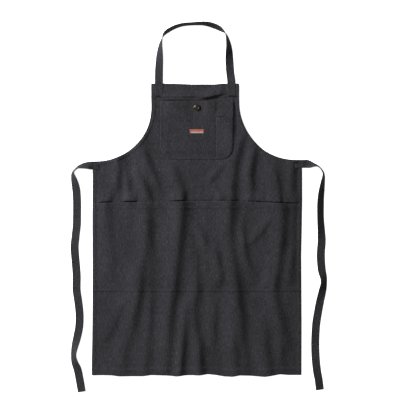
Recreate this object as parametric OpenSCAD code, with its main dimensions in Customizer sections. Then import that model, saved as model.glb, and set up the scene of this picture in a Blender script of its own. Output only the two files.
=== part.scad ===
// Cloth bib apron lying flat, front up. +Z is out of the cloth, +Y runs from the hem to the neck loop,
// +X is to the right as the front is seen. The origin is the middle of the bottom hem's underside.

/* [Body] */
// Width of the skirt between its side edges
body_w = 630; // [610:10:680]
// Height from the bottom edge to the top of the bib
body_h = 880; // [860:10:940]
// Width of the bib
bib_w = 267; // [255:1:280]
// Straight height of the bib's sides above the armhole curves
bib_side_h = 60; // [52:1:66]
// Radius of the armhole curves
armhole_r = 170; // [162:1:174]
// Thickness of one layer of cloth
cloth_t = 0.8; // [0.7:0.1:1]

/* [Hems] */
// Depth of the bottom hem
hem_d = 20; // [14:1:26]
// Width of the turned side hems
side_hem = 9; // [7:1:12]
// Depth of the turned hem along the top of the bib
bib_hem = 36; // [30:1:40]
// Width of the facing sewn behind each armhole edge
facing_w = 10; // [8:1:12]

/* [Chest pocket] */
// Width of the chest pocket
chest_w = 221; // [215:1:230]
// Depth of the chest pocket, from its mouth to its bottom edge
chest_h = 176; // [170:1:182]
// Drop from the top of the bib to the chest pocket's mouth
chest_drop = 50; // [46:1:54]
// Radius of the chest pocket's bottom corners
chest_corner = 38; // [34:1:42]
// Width of the pen pocket on the chest pocket's right side
pen_w = 50; // [48:1:52]
// Drop from the chest pocket's mouth to the pen pocket's mouth
pen_drop = 48; // [44:1:52]
// Height that the pockets stand open
pouch_h = 5.2; // [5:0.1:6]

/* [Lower pockets] */
// Height of the lower pockets' mouth above the origin
lower_mouth = 516; // [500:1:530]
// Depth of the lower pocket panel
lower_h = 274; // [260:1:290]

/* [Straps] */
// Width of the neck strap and of the waist ties
strap_w = 25; // [22:1:26]
// Thickness of the folded strap
strap_t = 1.6; // [1.4:0.1:2]
// Distance from the middle of the bib to the middle of each neck strap leg
leg_x = 110; // [106:1:114]
// Length of tie that is sewn onto the side of the skirt
tie_lap = 20; // [18:1:24]

/* [Button] */
// Outer radius of the tack button
button_r = 8.5; // [8:0.5:9]
// Drop from the chest pocket's mouth to the middle of the button
button_drop = 18; // [16:1:20]
// Length of the buttonhole's slit
buttonhole_l = 20; // [18:1:22]

/* [Label] */
// Width of the woven label
label_w = 43; // [40:1:50]
// Height of the woven label
label_h = 13; // [12:1:18]
// Drop from the chest pocket's mouth to the middle of the label
label_drop = 91; // [89:1:95]

/* [Thread] */
// Width of a row of stitches
thread_w = 0.8; // [0.6:0.1:1]
// Height of a row of stitches above the cloth
thread_h = 0.3; // [0.2:0.1:0.4]

/* [Hidden] */
$fn = 64;

cloth_colour = [0.17, 0.17, 0.18];
thread_colour = [0.26, 0.26, 0.27];
brass_colour = [0.42, 0.36, 0.22];

// Heights of the layers: turned edges, panel, what is sewn on the panel, and what is sewn on that
panel_z = cloth_t;
front_z = 2 * cloth_t;
pocket_z = 3 * cloth_t;
pen_z = 4 * cloth_t;
lap_z = front_z + strap_t;

bottom_y = -hem_d / 2;
bib_top = body_h - hem_d / 2;
armhole_x = bib_w / 2 + armhole_r;
armhole_y = bib_top - bib_side_h;
corner_y = armhole_y - armhole_r;
chest_mouth = bib_top - chest_drop;
chest_bottom = chest_mouth - chest_h;
pen_inset = 2.2;
pen_right = chest_w / 2 - pen_inset;
pen_left = pen_right - pen_w;
pen_mouth = chest_mouth - pen_drop;
lower_bottom = lower_mouth - lower_h;
button_y = chest_mouth - button_drop;
label_y = chest_mouth - label_drop;
tie_y = corner_y - strap_w / 2;

edge_row = 1.6;       // a row of stitches from the edge it holds
hem_row = 7.5;        // a row of stitches from the side or armhole edge
joint_gap = 0.3;      // between a sewn strap end and the strap that folds beside it
nail_r = 1.2;
shank_r = 2.3;
eye_r = 2.9;          // round end of the keyhole buttonhole
slit_w = 1.2;

// Neck strap: x from the middle of the bib, y above the bib, and roll in degrees. 0 is face up, and
// at 90 the strap stands on edge and faces out of the loop.
neck_route = [
    [-110, 0, 0], [-110, 22, 3], [-109.8, 40, 8], [-109, 58, 15], [-108, 75, 24], [-107, 95, 38],
    [-105, 118, 60], [-102, 133, 75], [-99, 143, 86], [-95, 151, 97], [-89, 157.5, 104], [-80, 164, 108],
    [-61, 174, 106], [-38, 181, 103], [-12, 183.5, 101], [11, 184.5, 104], [27, 184.5, 109],
    [43, 182, 116], [56, 178, 119], [66, 174, 119], [75, 169, 115], [81.5, 164.5, 105], [87, 160, 94],
    [91.5, 155.5, 83], [95, 148, 74], [98, 139, 66], [101, 124, 52], [102.5, 112, 42], [103.2, 95, 26],
    [103.6, 78, 14], [104.6, 60, 7], [106.2, 39, 3], [108.4, 20, 2], [110, 0, 0]
];
// Waist ties: x beyond the side edge, y above the origin, and roll as above
left_route = [
    [0, 628, 0], [6, 628, 9], [13, 628, 23], [25, 626.5, 40], [35, 624, 54], [44, 621, 67],
    [52.5, 614, 74], [58.5, 606.5, 70], [60, 598, 58], [58, 588, 43], [56, 579, 31], [53, 565, 16],
    [50.5, 548, 5], [49, 523, 2], [48.7, 502, 0], [49, 470, 0], [49.5, 445, 2], [53, 412, 6],
    [56, 378, 2], [53.5, 340, 0], [50, 295, 0], [50, 250, 2], [45, 214, 4], [41, 175, 0], [42, 138, 2],
    [48, 106, 8], [55, 76, 30], [58, 52, 42], [55, 30, 28], [47, 8, 8], [42, -16, 4], [38, -38, 4],
    [34, -60, 8]
];
right_route = [
    [0, 628, 0], [8, 628.5, 2], [16, 629, 6], [26, 628.5, 26], [36, 628, 52], [44, 627, 68],
    [52.5, 623.5, 77], [61.5, 614.5, 79], [67.5, 603.5, 74], [68.3, 595, 68], [67.5, 586, 60],
    [65, 567, 48], [63, 552, 40], [60.5, 531, 33], [59.4, 502, 28], [59.6, 466, 28], [61.5, 436, 22],
    [63, 412, 10], [63.5, 395, 4], [61, 355, 0], [63.5, 312, 8], [68.5, 288, 28], [69.5, 270, 34],
    [66, 248, 18], [59, 216, 6], [53, 184, 2], [47, 146, 0], [44.5, 110, 4], [44, 76, 0], [45.5, 40, 0],
    [49.5, 2, 4], [54, -22, 8], [58, -54, 8]
];
route_steps = 3;      // rings between two route points

function smooth(t) = let (c = min(1, max(0, t))) c * c * (3 - 2 * c);
function spread(a, b, n) = [for (i = [0 : n]) a + (b - a) * i / n];
function segment_gap(p, low, high) = norm(p - [low.x, min(high.y, max(low.y, p.y))]);

// Catmull-Rom curve through the points
function spline(a, b, c, d, t) =
    0.5 * (2 * b + (c - a) * t + (2 * a - 5 * b + 4 * c - d) * t * t + (3 * b - a - 3 * c + d) * t * t * t);
function curve(p) = let (n = len(p) - 1) [
    for (i = [0 : n - 1]) for (s = [0 : route_steps - 1])
        spline(p[max(0, i - 1)], p[i], p[i + 1], p[min(n, i + 2)], s / route_steps),
    p[n]
];

// A sheet over a grid of x and y places. lift is a function of x and y.
module height_sheet(xs, ys, base, lift) {
    nx = len(xs);
    ny = len(ys);
    low = [for (y = ys) for (x = xs) [x, y, base + lift(x, y)]];
    high = [for (p = low) p + [0, 0, cloth_t]];
    n = nx * ny;
    cells = [for (r = [0 : ny - 2]) for (c = [0 : nx - 2]) r * nx + c];
    rim = concat(
        [for (c = [0 : nx - 2]) [c, c + 1]],
        [for (r = [0 : ny - 2]) [r * nx + nx - 1, r * nx + 2 * nx - 1]],
        [for (c = [nx - 2 : -1 : 0]) [n - nx + c + 1, n - nx + c]],
        [for (r = [ny - 2 : -1 : 0]) [(r + 1) * nx, r * nx]]
    );
    polyhedron(concat(low, high), concat(
        [for (i = cells) [i, i + 1, i + nx + 1]],
        [for (i = cells) [i, i + nx + 1, i + nx]],
        [for (i = cells) [n + i + nx + 1, n + i + 1, n + i]],
        [for (i = cells) [n + i + nx, n + i + nx + 1, n + i]],
        [for (e = rim) [e[0], n + e[0], n + e[1]]],
        [for (e = rim) [e[0], n + e[1], e[1]]]
    ));
}

// A strap along a route of [x, y, roll]. It lies on the ground, and starts raise above it. Its sewn
// ends are square to the direction start.
module ribbon(route, raise, start, both_ends) {
    p = curve(route);
    last = len(p) - 1;
    rings = [for (i = [0 : last])
        let (
            ahead = p[min(last, i + 1)] - p[max(0, i - 1)],
            travel = i == 0 ? start : both_ends && i == last ? -start
                : [ahead.x, ahead.y] / norm([ahead.x, ahead.y]),
            out = [-travel.y, travel.x, 0],
            roll = p[i].z,
            wide = cos(roll) * out - sin(roll) * [0, 0, 1],
            face = sin(roll) * out + cos(roll) * [0, 0, 1],
            from_end = both_ends ? min(i, last - i) : i,
            rest_z = strap_w / 2 * abs(sin(roll)) + strap_t / 2 * abs(cos(roll)),
            centre = [p[i].x, p[i].y, rest_z + raise * (1 - smooth(from_end / 5))]
        )
        for (corner = [[-1, -1], [1, -1], [1, 1], [-1, 1]])
            centre + corner.x * strap_w / 2 * wide + corner.y * strap_t / 2 * face];
    sides = [for (i = [0 : last - 1]) for (k = [0 : 3])
        [4 * i + k, 4 * i + 4 + k, 4 * i + 4 + (k + 1) % 4, 4 * i + (k + 1) % 4]];
    polyhedron(rings, concat(
        [[0, 1, 2], [0, 2, 3]],
        [for (q = sides) [q[0], q[1], q[2]]],
        [for (q = sides) [q[0], q[2], q[3]]],
        [[4 * last + 2, 4 * last + 1, 4 * last], [4 * last + 3, 4 * last + 2, 4 * last]]
    ));
}

module plate(z, t) {
    translate([0, 0, z]) linear_extrude(t) children();
}

module rect(x0, y0, x1, y1) {
    translate([x0, y0]) square([x1 - x0, y1 - y0]);
}

// The open space of an armhole, grown by w into the cloth, on the right side
module armhole_void(w) {
    translate([armhole_x, armhole_y]) circle(armhole_r + w, $fn = 180);
    rect(armhole_x, corner_y - w, body_w, body_h);
    rect(bib_w / 2 - w, armhole_y, body_w, body_h);
}

// A band of the cloth between two distances from the right armhole's edge
module armhole_band(near, far, x_max, y_max) {
    intersection() {
        difference() {
            armhole_void(far);
            armhole_void(near);
        }
        rect(0, 0, x_max, y_max);
    }
}

// The chest pocket's outline, drawn in by w on its sides and bottom
module chest_outline(w) {
    half = chest_w / 2 - w;
    low = chest_bottom + w;
    r = chest_corner - w;
    for (s = [-1, 1]) translate([s * (half - r), low + r]) circle(r, $fn = 96);
    rect(-half, low + r, half, chest_mouth);
    rect(-(half - r), low, half - r, low + r);
}

module pen_outline(w) {
    intersection() {
        chest_outline(pen_inset + w);
        rect(pen_left + w, chest_bottom, pen_right, pen_mouth);
    }
}

// A rectangle with both diagonals, as it is sewn to hold a strap's end
module box_x(w, h) {
    lean = atan2(h - thread_w, w - thread_w);
    difference() {
        square([w, h], center = true);
        square([w - 2 * thread_w, h - 2 * thread_w], center = true);
    }
    for (s = [-1, 1]) rotate(s * lean)
        square([norm([w - thread_w, h - thread_w]), thread_w], center = true);
}

// How far the chest pocket stands off the bib: open at the mouth, and held down round the button
chest_x0 = -chest_w / 2 + 12;
chest_x1 = pen_left - 3;
chest_y0 = chest_bottom + 20;
button_flat = 20;
chest_lift = function (x, y)
    pouch_h * smooth((x - chest_x0) / 18) * smooth((chest_x1 - x) / 18) * smooth((y - chest_y0) / 20)
    * smooth((segment_gap([x, y], [0, button_y - buttonhole_l], [0, button_y + 30]) - button_flat) / 16);

pen_x0 = pen_left + 4;
pen_x1 = pen_right - 4;
pen_y0 = chest_bottom + chest_corner;
pen_lift = function (x, y)
    pouch_h * smooth((x - pen_x0) / 12) * smooth((pen_x1 - x) / 12) * smooth((y - pen_y0) / 16);

lower_x0 = 4;
lower_x1 = body_w / 2 - side_hem - 2;
lower_y0 = lower_bottom + 8;
lower_lift = function (x, y)
    pouch_h * smooth((x - lower_x0) / 24) * smooth((lower_x1 - x) / 24) * smooth((y - lower_y0) / 24);

module body_panel() {
    color(cloth_colour) difference() {
        union() {
            plate(panel_z, cloth_t) difference() {
                rect(-body_w / 2, bottom_y, body_w / 2, bib_top);
                armhole_void(0);
                mirror([1, 0]) armhole_void(0);
            }
            plate(0, cloth_t) {
                rect(-body_w / 2, bottom_y, body_w / 2, -bottom_y);
                rect(-bib_w / 2, bib_top - bib_hem, bib_w / 2, bib_top);
                for (s = [0, 1]) mirror([s, 0])
                    rect(body_w / 2 - side_hem, bottom_y, body_w / 2, corner_y);
            }
        }
        translate([0, button_y, 0]) cylinder(3 * cloth_t, nail_r + 0.05, nail_r + 0.05);
    }
}

module armhole_facing() {
    plate(0, cloth_t) armhole_band(0, facing_w, body_w / 2 - side_hem, bib_top - bib_hem);
}

module armhole_facing_left() {
    color(cloth_colour) mirror([1, 0, 0]) armhole_facing();
}

module armhole_facing_right() {
    color(cloth_colour) armhole_facing();
}

module chest_pocket() {
    color(cloth_colour) difference() {
        union() {
            plate(front_z, cloth_t) difference() {
                chest_outline(0);
                rect(chest_x0, chest_y0, chest_x1, chest_mouth + 1);
            }
            height_sheet(spread(chest_x0, chest_x1, 20), spread(chest_y0, chest_mouth, 20), front_z,
                         chest_lift);
        }
        plate(front_z - 1, 3 * cloth_t) {
            translate([0, button_y]) circle(eye_r);
            rect(-slit_w / 2, button_y - buttonhole_l, slit_w / 2, button_y);
        }
    }
}

module pen_pocket() {
    color(cloth_colour) {
        plate(pocket_z, cloth_t) difference() {
            pen_outline(0);
            rect(pen_x0, pen_y0, pen_x1, pen_mouth + 1);
        }
        height_sheet(spread(pen_x0, pen_x1, 12), spread(pen_y0, pen_mouth, 10), pocket_z, pen_lift);
    }
}

module lower_pocket_panel() {
    color(cloth_colour) {
        plate(front_z, cloth_t) difference() {
            rect(-body_w / 2, lower_bottom, body_w / 2, lower_mouth);
            for (s = [0, 1]) mirror([s, 0]) rect(lower_x0, lower_y0, lower_x1, lower_mouth + 1);
        }
        for (s = [0, 1]) mirror([s, 0, 0])
            height_sheet(spread(lower_x0, lower_x1, 26), spread(lower_y0, lower_mouth, 18), front_z,
                         lower_lift);
    }
}

module neck_strap() {
    color(cloth_colour) translate([0, bib_top + joint_gap, 0]) ribbon(
        [for (p = neck_route) [p.x * leg_x / 110, p.y, p.z]], front_z, [0, 1], true);
}

module neck_strap_ends() {
    color(cloth_colour) for (s = [-1, 1])
        plate(front_z, strap_t) translate([s * leg_x, bib_top - bib_hem / 2])
            square([strap_w, bib_hem], center = true);
}

module waist_tie(route) {
    translate([body_w / 2 + joint_gap, tie_y - route[0].y, 0]) ribbon(route, front_z, [1, 0], false);
}

module waist_tie_left() {
    color(cloth_colour) mirror([1, 0, 0]) waist_tie(left_route);
}

module waist_tie_right() {
    color(cloth_colour) waist_tie(right_route);
}

module waist_tie_end() {
    plate(front_z, strap_t) rect(body_w / 2 - tie_lap, corner_y - strap_w, body_w / 2, corner_y);
}

module waist_tie_end_left() {
    color(cloth_colour) mirror([1, 0, 0]) waist_tie_end();
}

module waist_tie_end_right() {
    color(cloth_colour) waist_tie_end();
}

label_z = pocket_z + pouch_h;
label_t = 0.6;

module woven_label() {
    color([0.8, 0.4, 0.28]) plate(label_z, label_t) translate([0, label_y])
        square([label_w, label_h], center = true);
}

// The button's cap turns on the core, which the tack's nail holds through the cloth
cap_z = 3.4;
cap_h = 3.4;
cap_wall = 0.6;
flange_r = button_r - 2;

module button_cap() {
    edge_r = 1.2;
    color(brass_colour) translate([0, button_y, cap_z]) rotate_extrude($fn = 96) difference() {
        union() {
            rect(3.2, 0, button_r - edge_r, cap_h);
            rect(3.2, 0, button_r, cap_h - edge_r);
            translate([button_r - edge_r, cap_h - edge_r]) circle(edge_r, $fn = 48);
        }
        rect(0, -1, flange_r - 2, cap_h / 2);
        rect(0, cap_wall, flange_r + 0.6, cap_h - 1.2);
        translate([4.4, cap_h + 1.3]) circle(1.8, $fn = 48);
    }
}

module button_core() {
    color([0.16, 0.15, 0.11]) translate([0, button_y, 0]) difference() {
        union() {
            translate([0, 0, front_z]) cylinder(cap_z + cap_wall + 0.3 - front_z, shank_r, shank_r);
            translate([0, 0, cap_z + cap_wall + 0.3]) cylinder(0.9, flange_r, flange_r);
            translate([0, 0, cap_z + cap_wall + 1.2]) cylinder(0.7, 2.8, 2.8);
        }
        translate([0, 0, 0]) cylinder(cap_z + cap_wall + 0.7, nail_r + 0.05, nail_r + 0.05);
    }
}

module button_tack() {
    nail_top = cap_z + cap_wall + 0.2;
    color(brass_colour) translate([0, button_y, 0]) {
        translate([0, 0, 0.1]) cylinder(cloth_t - 0.1, 4.4, 4.4);
        translate([0, 0, 0.1]) cylinder(nail_top - 0.5, nail_r, nail_r);
        translate([0, 0, nail_top - 0.4]) cylinder(0.7, nail_r, 0.4);
    }
}

module hem_stitching() {
    side_x = body_w / 2 - hem_row;
    row_y = -bottom_y - edge_row;
    color(thread_colour) plate(front_z, thread_h) {
        rect(-side_x, row_y - thread_w / 2, side_x, row_y + thread_w / 2);
        for (s = [0, 1]) mirror([s, 0]) {
            rect(side_x - thread_w / 2, bottom_y + 1, side_x + thread_w / 2, lower_bottom - 0.2);
            rect(side_x - thread_w / 2, lower_mouth + 0.2, side_x + thread_w / 2,
                 corner_y - strap_w - 0.2);
        }
    }
}

module bib_hem_stitching() {
    row_y = bib_top - bib_hem + edge_row;
    inner = leg_x - strap_w / 2 - 0.2;
    outer = leg_x + strap_w / 2 + 0.2;
    color(thread_colour) plate(front_z, thread_h) {
        rect(-inner, row_y - thread_w / 2, inner, row_y + thread_w / 2);
        for (s = [0, 1]) mirror([s, 0])
            rect(outer, row_y - thread_w / 2, bib_w / 2 - 0.5, row_y + thread_w / 2);
    }
}

module armhole_stitching() {
    color(thread_colour) for (s = [0, 1]) mirror([s, 0, 0]) plate(front_z, thread_h)
        armhole_band(hem_row - thread_w / 2, hem_row + thread_w / 2, body_w / 2 - tie_lap - 0.2,
                     bib_top - bib_hem - 0.2);
}

module chest_pocket_stitching() {
    color(thread_colour) plate(pocket_z, thread_h) intersection() {
        difference() {
            chest_outline(edge_row - thread_w / 4);
            chest_outline(edge_row + thread_w / 4);
        }
        rect(-chest_w, chest_bottom, chest_w, chest_mouth - 6);
    }
}

module pen_pocket_stitching() {
    color(thread_colour) plate(pen_z, thread_h) intersection() {
        difference() {
            pen_outline(edge_row - thread_w / 2);
            pen_outline(edge_row + thread_w / 2);
        }
        rect(0, chest_bottom, chest_w, pen_mouth - 5);
    }
}

module lower_pocket_stitching() {
    side_x = body_w / 2 - hem_row;
    top_y = lower_mouth - 12;
    color(thread_colour) plate(pocket_z, thread_h) {
        for (row = [edge_row, edge_row + 4.5])
            rect(-side_x, lower_bottom + row - thread_w / 2, side_x, lower_bottom + row + thread_w / 2);
        rect(-thread_w / 2, lower_bottom + edge_row, thread_w / 2, top_y);
        for (s = [0, 1]) mirror([s, 0])
            rect(side_x - thread_w / 2, lower_bottom + edge_row, side_x + thread_w / 2, top_y);
    }
}

module neck_strap_stitching() {
    color(thread_colour) for (s = [-1, 1])
        plate(lap_z, thread_h) translate([s * leg_x, bib_top - bib_hem / 2])
            box_x(strap_w - 5, bib_hem - 6);
}

module waist_tie_stitching() {
    color(thread_colour) for (s = [-1, 1])
        plate(lap_z, thread_h) translate([s * (body_w - tie_lap) / 2, corner_y - strap_w / 2])
            box_x(tie_lap - 5, strap_w - 5);
}

module label_stitching() {
    color([0.7, 0.36, 0.26]) plate(label_z + label_t, 0.2) for (s = [-1, 1])
        translate([s * (label_w / 2 - 2), label_y]) square([0.5, label_h - 1], center = true);
}

module buttonhole_stitching() {
    low_y = button_y - buttonhole_l;
    color(thread_colour) plate(pocket_z, thread_h) difference() {
        union() {
            translate([0, button_y]) circle(eye_r + 1.8);
            rect(-slit_w / 2 - 1.6, low_y - 1.6, slit_w / 2 + 1.6, button_y);
        }
        translate([0, button_y]) circle(eye_r);
        rect(-slit_w / 2, low_y, slit_w / 2, button_y);
    }
}

// Dense bars of thread that hold the ends of the pocket mouths
module bar_tacks() {
    color(thread_colour) {
        for (s = [-1, 1]) {
            plate(pocket_z, 1.5 * thread_h) translate([s * (chest_w / 2 - 5), chest_mouth - 3])
                square([8, 2], center = true);
            plate(pocket_z, 1.5 * thread_h) translate([s * (body_w / 2 - hem_row), lower_mouth - 6])
                square([2, 10], center = true);
        }
        plate(pocket_z, 1.5 * thread_h) translate([0, lower_mouth - 6]) square([2, 10], center = true);
        for (x = [pen_left + 1.8, pen_right - 1.8])
            plate(pen_z, 1.5 * thread_h) translate([x, pen_mouth - 3]) square([3.2, 2], center = true);
    }
}

body_panel();
armhole_facing_left();
armhole_facing_right();
chest_pocket();
pen_pocket();
lower_pocket_panel();
neck_strap();
neck_strap_ends();
waist_tie_left();
waist_tie_right();
waist_tie_end_left();
waist_tie_end_right();
woven_label();
button_cap();
button_core();
button_tack();
hem_stitching();
bib_hem_stitching();
armhole_stitching();
chest_pocket_stitching();
pen_pocket_stitching();
lower_pocket_stitching();
neck_strap_stitching();
waist_tie_stitching();
label_stitching();
buttonhole_stitching();
bar_tacks();
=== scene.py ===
"""A charcoal denim bib apron that lies flat, front up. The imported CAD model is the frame. Cloth, straps,
label and thread are built here in millimetres on the flat cut, then laid with the same low folds, so that
what is sewn together stays together."""

import math

import bpy
import numpy as np
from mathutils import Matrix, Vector


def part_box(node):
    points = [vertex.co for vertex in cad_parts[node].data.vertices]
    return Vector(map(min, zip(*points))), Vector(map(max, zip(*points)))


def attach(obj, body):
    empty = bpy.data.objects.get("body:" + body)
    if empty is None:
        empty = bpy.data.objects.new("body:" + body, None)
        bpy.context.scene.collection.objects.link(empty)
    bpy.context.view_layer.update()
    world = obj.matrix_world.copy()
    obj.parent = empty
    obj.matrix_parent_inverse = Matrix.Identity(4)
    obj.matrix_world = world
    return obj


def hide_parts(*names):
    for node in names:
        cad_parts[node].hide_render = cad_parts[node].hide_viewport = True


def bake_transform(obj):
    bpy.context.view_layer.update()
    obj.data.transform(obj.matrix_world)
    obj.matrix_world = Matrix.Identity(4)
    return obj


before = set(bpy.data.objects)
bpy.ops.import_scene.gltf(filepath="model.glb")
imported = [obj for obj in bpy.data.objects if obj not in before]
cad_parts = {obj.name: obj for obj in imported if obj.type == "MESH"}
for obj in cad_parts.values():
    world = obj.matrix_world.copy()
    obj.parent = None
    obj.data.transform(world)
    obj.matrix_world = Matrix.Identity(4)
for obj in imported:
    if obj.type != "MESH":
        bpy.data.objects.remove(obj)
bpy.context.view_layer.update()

# ---------------------------------------------------------------- sizes, in millimetres, from the frame
MM = 0.001


def node_box(name):
    low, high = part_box(name)
    return np.array(low) / MM, np.array(high) / MM


BODY_LOW, BODY_HIGH = node_box("body_panel")
CHEST_LOW, CHEST_HIGH = node_box("chest_pocket")
PEN_LOW, PEN_HIGH = node_box("pen_pocket")
LOWER_LOW, LOWER_HIGH = node_box("lower_pocket_panel")
LAPS_LOW, LAPS_HIGH = node_box("neck_strap_ends")
TIE_LOW, TIE_HIGH = node_box("waist_tie_end_right")
LABEL_LOW, LABEL_HIGH = node_box("woven_label")
CAP_LOW, CAP_HIGH = node_box("button_cap")

CLOTH = (BODY_HIGH[2] - BODY_LOW[2]) / 2
HALF_W = BODY_HIGH[0]
BOTTOM, TOP = BODY_LOW[1], BODY_HIGH[1]
BIB_HALF = node_box("bib_hem_stitching")[1][0] + 0.5
ARM_R = 170
ARM_X = BIB_HALF + ARM_R
CORNER = TIE_HIGH[1]
ARM_Y = CORNER + ARM_R
HEM = -BOTTOM
SIDE_HEM = 9
BIB_HEM = LAPS_HIGH[1] - LAPS_LOW[1]
FACING = 10
CHEST_HALF = CHEST_HIGH[0]
CHEST_MOUTH, CHEST_BOTTOM = CHEST_HIGH[1], CHEST_LOW[1]
CHEST_CORNER = 38
PEN_MOUTH = PEN_HIGH[1]
MOUTH, POCKET_BOTTOM = LOWER_HIGH[1], LOWER_LOW[1]
STRAP_W = TIE_HIGH[1] - TIE_LOW[1]
STRAP_T = LAPS_HIGH[2] - LAPS_LOW[2]
LEG_X = LAPS_HIGH[0] - STRAP_W / 2
BUTTON_Y = (CAP_LOW[1] + CAP_HIGH[1]) / 2
BUTTONHOLE = 20
EDGE_ROW, HEM_ROW = 1.6, 7.5
GRID = 4.0


# ---------------------------------------------------------------- how the cloth lies
def smooth(t):
    t = np.clip(t, 0, 1)
    return t * t * (3 - 2 * t)


def hump(t):
    """1 at 0, falling smoothly to nothing by about 2."""
    return np.exp(-t * t)


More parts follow.
